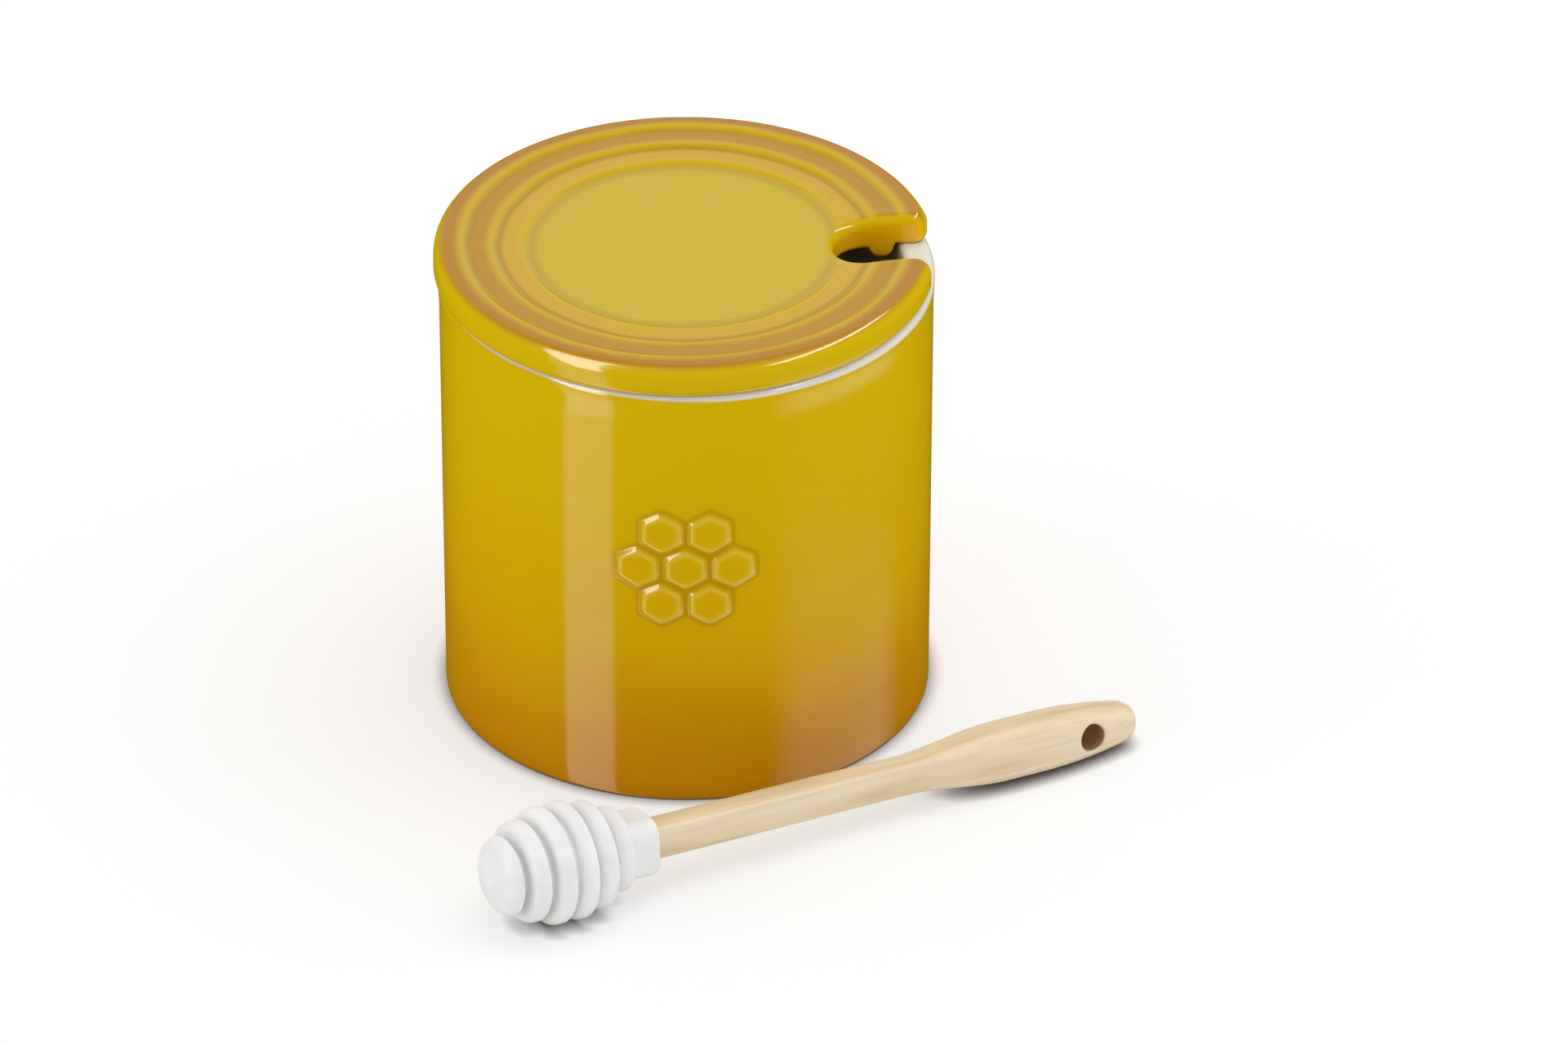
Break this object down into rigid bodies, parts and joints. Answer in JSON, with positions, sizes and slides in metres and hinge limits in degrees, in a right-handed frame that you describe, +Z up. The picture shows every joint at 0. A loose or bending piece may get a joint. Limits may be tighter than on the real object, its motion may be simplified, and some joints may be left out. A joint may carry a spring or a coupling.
{
  "type": "honey pot",
  "caption": "Cylindrical glazed stoneware honey pot with a slotted lift-off lid, and a ribbed silicone honey dipper on a beech handle lying beside it.",
  "frame": {"origin": "centre of the pot's foot, on the surface that it stands on", "axes": "+Z up along the pot's axis; the raised pattern on the pot's front faces -Y; the lid's slot opens towards +X"},
  "size_m": [0.1455, 0.1585, 0.1047],
  "materials": {
    "pot_glaze": "gloss yellow glaze, orange towards the foot, pale bare rim",
    "lid_glaze": "gloss yellow glaze, browner on the outer steps",
    "beech": "sanded, unvarnished",
    "silicone": "matte white moulded silicone"
  },
  "bodies": {
    "pot": {"pot": "pot_glaze"},
    "lid": {"lid": "lid_glaze"},
    "dipper": {"dipper_handle": "beech"},
    "dipper_head": {"dipper_head": "silicone", "dipper_collar": "silicone"}
  },
  "joints": [
    {"name": "lid_lift", "type": "slide", "parent": "pot", "child": "lid", "axis": [0, 0, 1], "range_m": [0, 0.12]},
    {"name": "dipper_lift", "type": "slide", "parent": "pot", "child": "dipper", "axis": [0, 0, 1], "range_m": [0, 0.15]},
    {"name": "head_pull", "type": "slide", "parent": "dipper", "child": "dipper_head", "axis": [-0.869, -0.4917, 0.0551], "range_m": [0, 0.03]}
  ]
}
